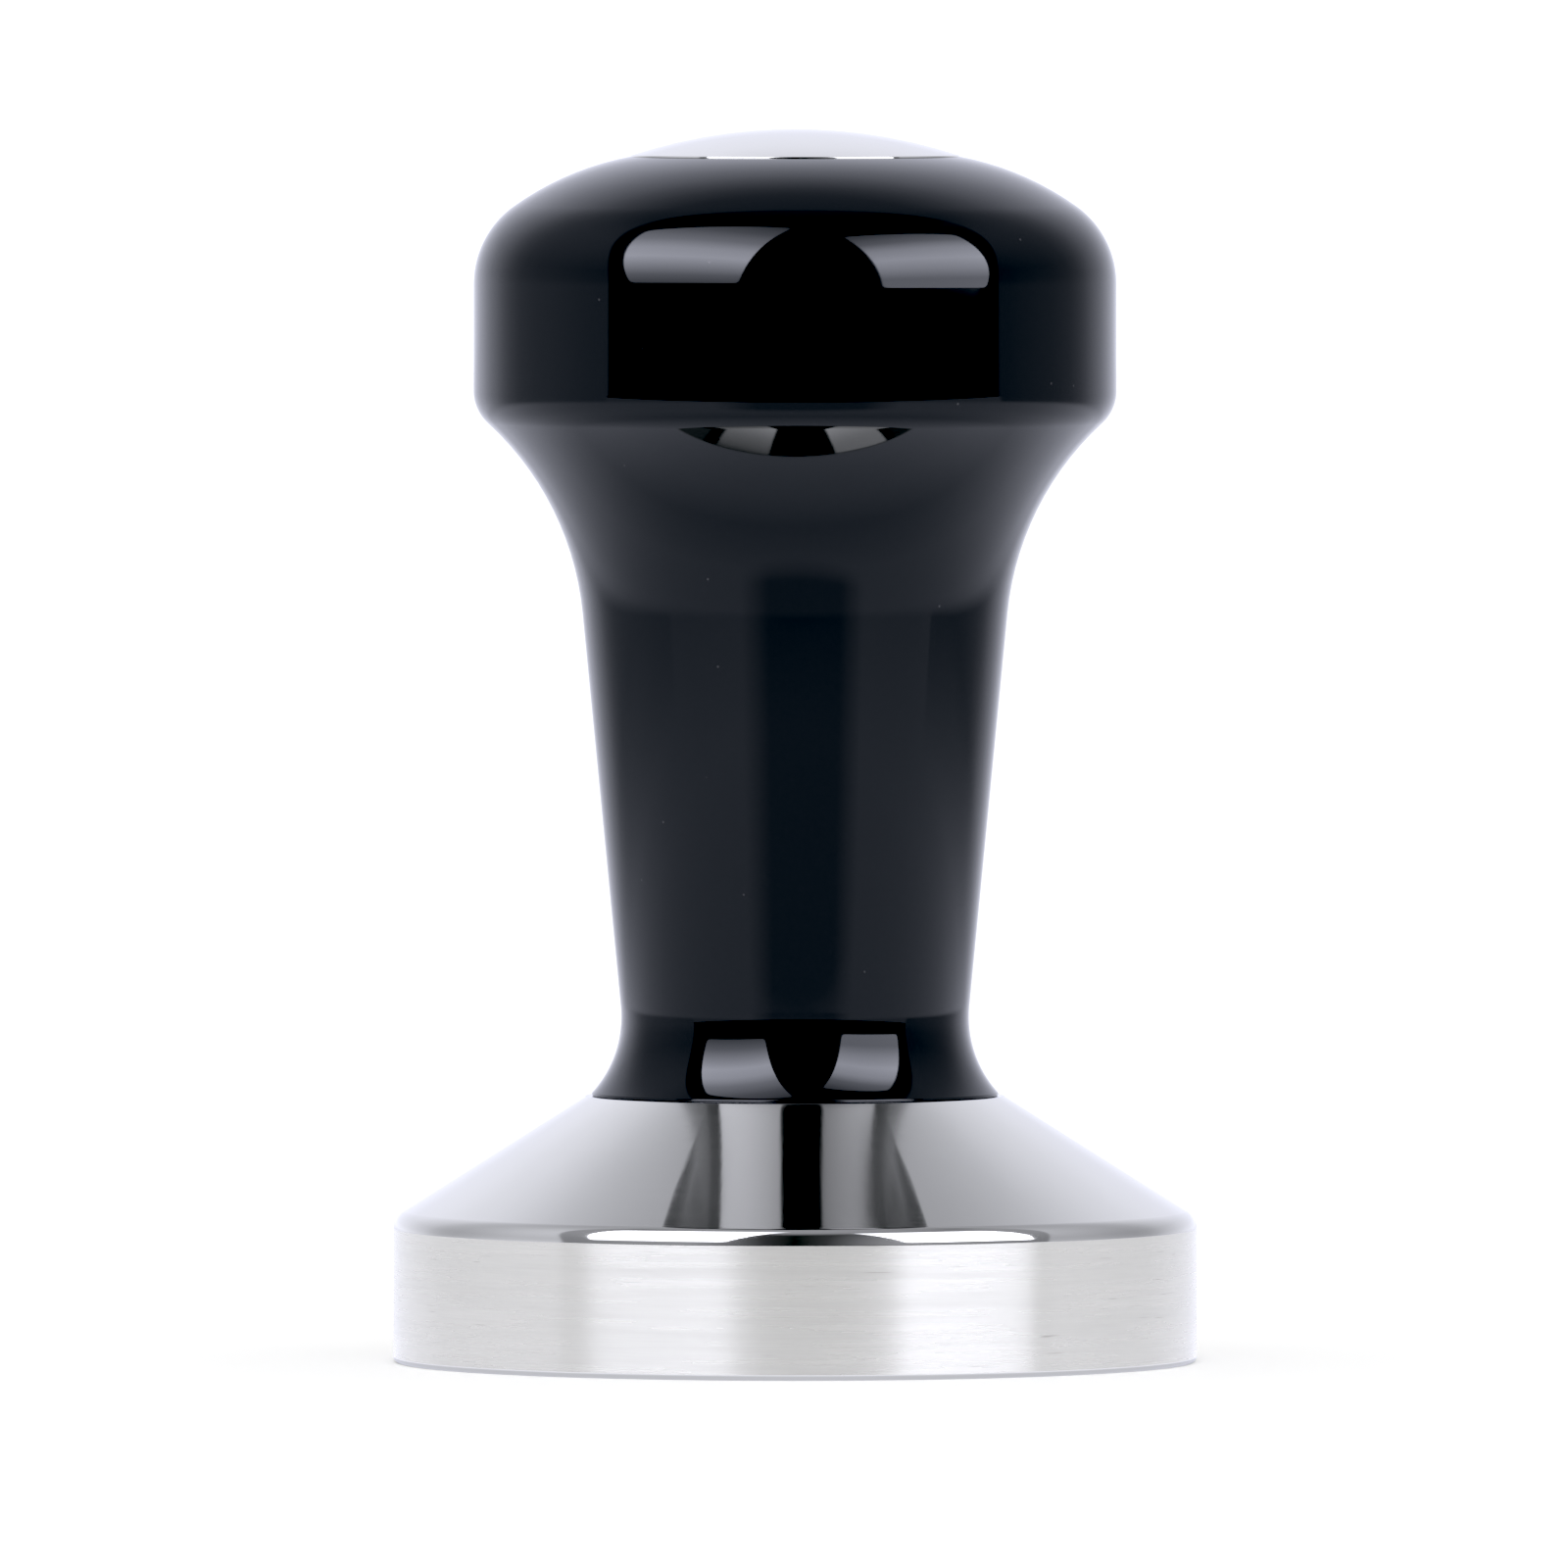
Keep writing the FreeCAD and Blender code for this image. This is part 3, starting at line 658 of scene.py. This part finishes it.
def buffed_steel():
    """Cone: nearly a mirror across, a little blurred along its slope by the marks that run round it."""
    material, tree, surface = start_material("buffed_steel", Metallic=1.0, Anisotropic=1.0,
                                             Anisotropic_Rotation=ACROSS_MARKS)
    rings = noise(tree, along_cut(tree, length=0.03, width=0.0003), detail=3.0)
    haze = noise(tree, object_place(tree), scale=120.0, detail=3.0)
    connect(tree, surface, Base_Color=blend_colours(tree, haze, *BUFFED),
            Roughness=between(tree, rings, 0.075, 0.095),
            Normal=bump(tree, rings, distance=0.000002, strength=0.4),
            Tangent=round_the_axis(tree))
    return material


def faced_steel():
    """Tamping face, land, stud hole and the cap's underside: concentric tool marks of a lathe."""
    material, tree, surface = start_material("faced_steel", Metallic=1.0, Anisotropic=0.6,
                                             Anisotropic_Rotation=ACROSS_MARKS)
    rings = noise(tree, along_cut(tree, length=0.05, width=0.00025))
    wear = noise(tree, object_place(tree), scale=90.0, detail=4.0)
    connect(tree, surface, Base_Color=blend_colours(tree, wear, *FACED),
            Roughness=between(tree, wear, 0.16, 0.26),
            Normal=bump(tree, rings, distance=0.000008, strength=0.5),
            Tangent=round_the_axis(tree))
    return material


def lacquer():
    """Black gloss lacquer: deep, smooth, with the slightest ripple, and dust in the film."""
    material, tree, surface = start_material("black_lacquer", IOR=1.5)
    place = object_place(tree)
    ripple = noise(tree, place, scale=420.0)
    wear = noise(tree, place, scale=60.0, detail=4.0, roughness=0.6)
    specks = add_node(tree, "ShaderNodeTexVoronoi", {"Vector": place, "Scale": 350.0}).outputs["Distance"]
    dust = spread(tree, specks, 0.02, 0.035, 1.0, 0.0)
    connect(tree, surface, Base_Color=blend_colours(tree, dust, LACQUER, DUST),
            Roughness=spread(tree, wear, 0.35, 0.75, 0.03, 0.075),
            Normal=bump(tree, ripple, distance=0.0000015, strength=0.5))
    return material


def bare_wood():
    """Inside of the handle's bores: beech, with its flecks and rings, where no lacquer reaches."""
    material, tree, surface = start_material("bare_beech", Roughness=0.65)
    mapping = {"Vector": object_place(tree), "Scale": (1, 1, 0.15)}
    place = add_node(tree, "ShaderNodeMapping", mapping).outputs[0]
    grain = noise(tree, place, scale=700.0, detail=4.0)
    flecks = noise(tree, place, scale=2400.0, detail=1.0)
    share = maths(tree, "ADD", maths(tree, "MULTIPLY", grain, 0.7), maths(tree, "MULTIPLY", flecks, 0.3))
    connect(tree, surface, Base_Color=blend_colours(tree, share, *BEECH),
            Normal=bump(tree, grain, distance=0.00005, strength=0.4))
    return material


def screw_steel():
    """Stainless set screw: rolled thread, dull and slightly stained."""
    material, tree, surface = start_material("screw_steel", Metallic=1.0)
    stain = noise(tree, object_place(tree), scale=500.0, detail=4.0)
    rolled = noise(tree, along_cut(tree, length=0.004, width=0.0002))
    connect(tree, surface, Base_Color=blend_colours(tree, stain, *SCREW),
            Roughness=between(tree, stain, 0.22, 0.42),
            Normal=bump(tree, rolled, distance=0.00001, strength=0.5))
    return material


def brass():
    """Free-cutting brass with turning marks and a little tarnish."""
    material, tree, surface = start_material("insert_brass", Metallic=1.0)
    tarnish = noise(tree, object_place(tree), scale=350.0, detail=4.0)
    rings = noise(tree, along_cut(tree, length=0.01, width=0.00015))
    connect(tree, surface, Base_Color=blend_colours(tree, tarnish, *BRASS),
            Roughness=between(tree, tarnish, 0.2, 0.4),
            Normal=bump(tree, rings, distance=0.00001, strength=0.5))
    return material


def rubber():
    """Black nitrile rubber with a fine moulded grain and a grey bloom."""
    material, tree, surface = start_material("ring_rubber")
    place = object_place(tree)
    grain = noise(tree, place, scale=6000.0)
    bloom = noise(tree, place, scale=300.0, detail=3.0)
    connect(tree, surface, Base_Color=blend_colours(tree, bloom, *RUBBER),
            Roughness=between(tree, bloom, 0.5, 0.75),
            Normal=bump(tree, grain, distance=0.00002, strength=0.5))
    return material


def foam():
    """Acrylic foam tape: pale, matte, with fine open cells."""
    material, tree, surface = start_material("pad_foam", Roughness=0.85)
    place = object_place(tree)
    cells = add_node(tree, "ShaderNodeTexVoronoi", {"Vector": place, "Scale": 4000.0}).outputs["Distance"]
    shade = noise(tree, place, scale=400.0)
    connect(tree, surface, Base_Color=blend_colours(tree, shade, *FOAM),
            Normal=bump(tree, cells, distance=0.00006, strength=0.6))
    return material


# ---------------------------------------------------------------- studio

CAMERA_DISTANCE, CAMERA_HEIGHT, LENS, SENSOR = 2.319, 0.113, 738.0, 36.0
AIM = Vector((-0.0008, 0.0, 0.0417))
LIGHT = (1.0, 1.02, 1.18)          # the studio's faintly blue white
PLAIN_LIGHT = 1.2                  # white room that lights everything but reflections
BLACK_LEVEL = (0.030, 0.028, 0.030)

# Soft boxes that lean over the tamper: lower inner, lower outer, upper outer and upper inner corner,
# then how bright they are at each height.
LEFT_BOX = ((-0.132, -0.369, 0.113), (-0.343, -0.200, 0.109),
            (-0.225, -0.020, 0.400), (-0.005, -0.124, 0.510))
LEFT_GLOW = [(0.11, 1.5), (0.16, 2.6), (0.21, 5.0), (0.255, 7.3), (0.30, 6.3),
             (0.35, 3.6), (0.42, 1.9), (0.51, 0.9)]
RIGHT_BOX = ((0.180, -0.305, 0.077), (0.350, -0.125, 0.073),
             (0.245, -0.030, 0.370), (0.090, -0.183, 0.430))
RIGHT_GLOW = [(0.07, 3.1), (0.13, 3.0), (0.18, 5.0), (0.235, 6.7), (0.29, 5.2),
              (0.34, 2.5), (0.40, 1.4), (0.43, 1.2)]
BOX_STEPS, BOX_SQUARENESS = 24, 0.09     # points on a quarter of the edge, and 0 for sharp corners

# The white surround has a dark opening in front, edged at these cosines.
OPENING_START, OPENING_END, OPENING_SKEW, OPENING_LEAN = -0.265, -0.280, 0.065, 0.62
# Levels of the opening by distance from its middle and by height, and of the surround by
# depth and by height, each as (cosine, level).
OPENING_SIDES = [(0.0, 0.03), (0.15, 0.07), (0.25, 0.15), (0.5, 0.38), (0.75, 0.36), (1.0, 0.26)]
OPENING_OVERHEAD = [(0.8, 0.0), (0.88, 0.15), (0.94, 0.33), (1.0, 0.38)]
WALL_LEVELS = [(-0.3, 0.77), (0.0, 0.74), (0.15, 0.70), (0.3, 0.64), (0.45, 0.60), (0.55, 0.64),
               (0.62, 0.72), (0.7, 0.86), (0.8, 1.0), (0.87, 1.12), (1.0, 1.28)]
CEILING_LEVELS = [(0.0, 0.86), (0.1, 0.78), (0.26, 0.75), (0.42, 0.81), (0.57, 0.87),
                  (0.7, 0.89), (0.78, 0.84), (0.87, 0.7), (1.0, 0.7)]
SIDE_FALL = -0.1                         # change of the surround's level towards +X
# The table's front edge, and its painted glow levels by distance from the tamper's axis: darkest right at
# the rim as a painted contact shadow, with a dip around 70 mm out.
TABLE_FRONT, TABLE_FADE = -0.27, 0.01
PAINTED_TABLE_LEVELS = [(0.0292, 0.7), (0.0305, 1.08), (0.05, 1.0), (0.07, 0.84), (0.11, 0.98), (0.22, 1.0),
                (0.30, 0.85), (0.36, 0.8)]
TABLE_NEAR, TABLE_FAR = 0.26, 0.36       # where the table fades into the surround
# The painted shade strip on the table, where the gap between the soft boxes leaves it unlit: how dark,
# where it starts, its middle, half width and soft edges.
SHADE, SHADE_START, SHADE_FADE = 0.30, 0.095, 0.03
SHADE_MIDDLE, SHADE_HALF, SHADE_BLUR = 0.1, 0.5, 0.15
FLOOR_HALF, FLOOR_CELLS, FLOOR_GREY = 4.0, 16, 0.93


def emission(tree, colour, strength):
    """An emission shader."""
    return add_node(tree, "ShaderNodeEmission", {"Color": colour, "Strength": strength}).outputs[0]


def past_opening(tree, across, away, up):
    """1 for directions that look at the white surround, and 0 for those through its dark opening."""
    lean = maths(tree, "MULTIPLY", maths(tree, "MULTIPLY", up, up), OPENING_LEAN)
    skew = maths(tree, "MULTIPLY", across, OPENING_SKEW)
    edge = maths(tree, "SUBTRACT", maths(tree, "SUBTRACT", away, lean), skew)
    return spread(tree, edge, OPENING_END, OPENING_START, 0.0, 1.0)


def opening_level(tree, across, up):
    """How bright the opening looks: darkest in the middle, dim at its sides and overhead."""
    sides = graph(tree, maths(tree, "ABSOLUTE", across), OPENING_SIDES)
    return maths(tree, "MAXIMUM", sides, graph(tree, up, OPENING_OVERHEAD))


def surround_level(tree, across, away, up):
    """How bright the surround looks in a direction: brightest at the back, darker overhead."""
    walls = graph(tree, away, WALL_LEVELS)
    ceiling = graph(tree, up, CEILING_LEVELS)
    sides = maths(tree, "MULTIPLY_ADD", across, SIDE_FALL, 1.0)
    return maths(tree, "MULTIPLY", maths(tree, "MULTIPLY", walls, ceiling), sides)


def studio_walls():
    """White surround with a dark opening in front for reflections, and plain white for the rest."""
    world = bpy.data.worlds.new("studio")
    bpy.context.scene.world = world
    world.use_nodes = True
    tree = world.node_tree
    tree.nodes.clear()
    ray = add_node(tree, "ShaderNodeTexCoord").outputs["Generated"]
    across, away, up = add_node(tree, "ShaderNodeSeparateXYZ", {0: ray}).outputs
    dim = opening_level(tree, across, up)
    gain = maths(tree, "SUBTRACT", surround_level(tree, across, away, up), dim)
    seen = maths(tree, "MULTIPLY_ADD", gain, past_opening(tree, across, away, up), dim)
    light = add_node(tree, "ShaderNodeLightPath").outputs
    reflected = add_node(tree, "ShaderNodeBackground", {"Color": (*LIGHT, 1), "Strength": seen})
    plain = add_node(tree, "ShaderNodeBackground", {"Color": (1, 1, 1, 1), "Strength": PLAIN_LIGHT})
    mix = add_node(tree, "ShaderNodeMixShader", {0: light["Is Glossy Ray"], 1: plain.outputs[0],
                                                 2: reflected.outputs[0]})
    add_node(tree, "ShaderNodeOutputWorld", {"Surface": mix.outputs[0]})


def panel_mesh(name, corners):
    """A four-cornered panel with rounded corners."""
    lower_in, lower_out, upper_out, upper_in = (Vector(corner) for corner in corners)
    shape = bmesh.new()
    outline = []
    for step in range(4 * BOX_STEPS):
        turn = 2 * math.pi * (step + 0.5) / (4 * BOX_STEPS)
        sweep, rise = (math.copysign(abs(part) ** BOX_SQUARENESS, part)
                       for part in (math.cos(turn), math.sin(turn)))
        u, v = (sweep + 1) / 2, (rise + 1) / 2
        low_edge, high_edge = lower_in.lerp(lower_out, u), upper_in.lerp(upper_out, u)
        outline.append(shape.verts.new(low_edge.lerp(high_edge, v)))
    middle = shape.verts.new((lower_in + lower_out + upper_out + upper_in) / 4)
    for step, vertex in enumerate(outline):
        shape.faces.new((outline[step - 1], vertex, middle))
    mesh = bpy.data.meshes.new(name)
    shape.to_mesh(mesh)
    shape.free()
    return mesh


def soft_box(name, corners, levels):
    """A lit panel that shows only in reflections."""
    mesh = panel_mesh(name, corners)
    panel = bpy.data.objects.new(name, mesh)
    bpy.context.scene.collection.objects.link(panel)
    material = bpy.data.materials.new(name)
    material.use_nodes = True
    tree = material.node_tree
    tree.nodes.clear()
    height = add_node(tree, "ShaderNodeSeparateXYZ", {0: object_place(tree)}).outputs[2]
    glow = emission(tree, (*LIGHT, 1), graph(tree, height, levels))
    add_node(tree, "ShaderNodeOutputMaterial", {"Surface": glow})
    mesh.materials.append(material)
    for ray in ("camera", "diffuse", "transmission", "volume_scatter", "shadow"):
        setattr(panel, f"visible_{ray}", False)


def painted_table_shade(tree, across, away, near):
    """1 in the painted shade strip that runs along the table between the soft boxes, where they leave it
    unlit, times its darkness.
    """
    slant = maths(tree, "ABSOLUTE", maths(tree, "ADD", maths(tree, "DIVIDE", across, away), SHADE_MIDDLE))
    strip = spread(tree, slant, SHADE_HALF - SHADE_BLUR, SHADE_HALF + SHADE_BLUR, SHADE, 0.0)
    start = spread(tree, near, -SHADE_START - SHADE_FADE, -SHADE_START, 1.0, 0.0)
    return maths(tree, "MULTIPLY", strip, start)


def painted_table_glow(tree):
    """How bright the floor is painted for reflections: a glowing white table, with painted contact shade
    close round the rim, that fades into the surround at the sides and back, and ends in the dark opening
    in front, with a painted shade strip between the soft boxes."""
    place = object_place(tree)
    _, near, _ = add_node(tree, "ShaderNodeSeparateXYZ", {0: place}).outputs
    distance = add_node(tree, "ShaderNodeVectorMath", {0: place}, operation="LENGTH").outputs["Value"]
    direction = add_node(tree, "ShaderNodeVectorMath", {0: place}, operation="NORMALIZE").outputs[0]
    across, away, up = add_node(tree, "ShaderNodeSeparateXYZ", {0: direction}).outputs
    outside = past_opening(tree, across, away, up)

    # Painted shade of the unlit strip between the soft boxes, taken off the table's glow.
    lit = maths(tree, "SUBTRACT", 1.0, painted_table_shade(tree, across, away, near))
    # Painted shade: the table's glow is dimmed right at the rim, a little around 70 mm out, and in the
    # strip between the soft boxes.
    table = maths(tree, "MULTIPLY", graph(tree, distance, PAINTED_TABLE_LEVELS), lit)
    front = spread(tree, near, TABLE_FRONT - TABLE_FADE, TABLE_FRONT, 1.0, 0.0)
    ends = maths(tree, "MULTIPLY", front, maths(tree, "SUBTRACT", 1.0, outside))
    table = maths(tree, "MULTIPLY", table, maths(tree, "SUBTRACT", 1.0, ends))

    far = maths(tree, "MULTIPLY", spread(tree, distance, TABLE_NEAR, TABLE_FAR, 0.0, 1.0), outside)
    beyond = maths(tree, "MINIMUM", surround_level(tree, across, away, up), 1.0)
    surround = maths(tree, "MULTIPLY", beyond, far)
    return maths(tree, "MULTIPLY_ADD", table, maths(tree, "SUBTRACT", 1.0, far), surround)


def floor():
    """Plain pale floor, which reflections see as a painted glow at the brightness of the studio's table,
    with its painted shade.
    """
    shape = bmesh.new()
    bmesh.ops.create_grid(shape, x_segments=FLOOR_CELLS, y_segments=FLOOR_CELLS, size=FLOOR_HALF)
    mesh = bpy.data.meshes.new("floor")
    shape.to_mesh(mesh)
    shape.free()
    ground = bpy.data.objects.new("floor", mesh)
    bpy.context.scene.collection.objects.link(ground)
    grey = (FLOOR_GREY, FLOOR_GREY, FLOOR_GREY, 1)
    material, tree, surface = start_material("pale_floor", Base_Color=grey, Roughness=0.9,
                                             Specular_IOR_Level=0.0)
    light = add_node(tree, "ShaderNodeLightPath").outputs
    # Painted glow: reflections see the floor as emission with painted brightness and shade, not as a lit
    # surface.
    reflected = emission(tree, (*LIGHT, 1), painted_table_glow(tree))
    choice = {0: light["Is Glossy Ray"], 1: surface.outputs[0], 2: reflected}
    seen = add_node(tree, "ShaderNodeMixShader", choice)
    tree.links.new(seen.outputs[0], tree.nodes["Material Output"].inputs["Surface"])
    mesh.materials.append(material)


def camera():
    """Long lens, nearly level, from the front."""
    data = bpy.data.cameras.new("camera")
    data.lens = LENS
    data.sensor_width = SENSOR
    data.clip_start = 0.05
    data.clip_end = 50.0
    viewer = bpy.data.objects.new("camera", data)
    bpy.context.scene.collection.objects.link(viewer)
    viewer.location = (AIM.x, AIM.y - CAMERA_DISTANCE, CAMERA_HEIGHT)
    viewer.rotation_euler = (AIM - viewer.location).to_track_quat("-Z", "Y").to_euler()
    bpy.context.scene.camera = viewer


def picture_tones():
    """Plain display colours, with deep blacks."""
    view = bpy.context.scene.view_settings
    view.view_transform = "Standard"
    view.look = "None"
    view.use_curve_mapping = True
    view.curve_mapping.black_level = BLACK_LEVEL
    view.curve_mapping.update()


# ---------------------------------------------------------------- the tamper

def build():
    """Make every piece and hide the CAD node that it stands for."""
    faced, black = faced_steel(), lacquer()
    base_steels = [faced, satin_steel(), polished_steel(), buffed_steel()]
    new_piece("piston_body", turned_mesh("piston_body", piston_outline()), base_steels, "base", "piston")
    new_piece("threaded_stud", stud_mesh(), [screw_steel()], "base", "stud")
    new_piece("o_ring", turned_mesh("o_ring", ring_outline()), [rubber()], "friction_ring", "seal_ring")
    new_piece("brass_insert", insert_mesh(), [brass()], "grip", "thread_insert")
    new_piece("lacquered_handle", turned_mesh("lacquered_handle", handle_outline()), [black, bare_wood()],
              "grip", "handle")
    new_piece("foam_pad", turned_mesh("foam_pad", pad_outline()), [foam()], "grip", "cap_pad")
    new_piece("domed_cap", turned_mesh("domed_cap", cap_outline()),
              [polished_steel("cap_steel"), faced], "grip", "cap")


build()
floor()
soft_box("left_soft_box", LEFT_BOX, LEFT_GLOW)
soft_box("right_soft_box", RIGHT_BOX, RIGHT_GLOW)
studio_walls()
camera()
picture_tones()
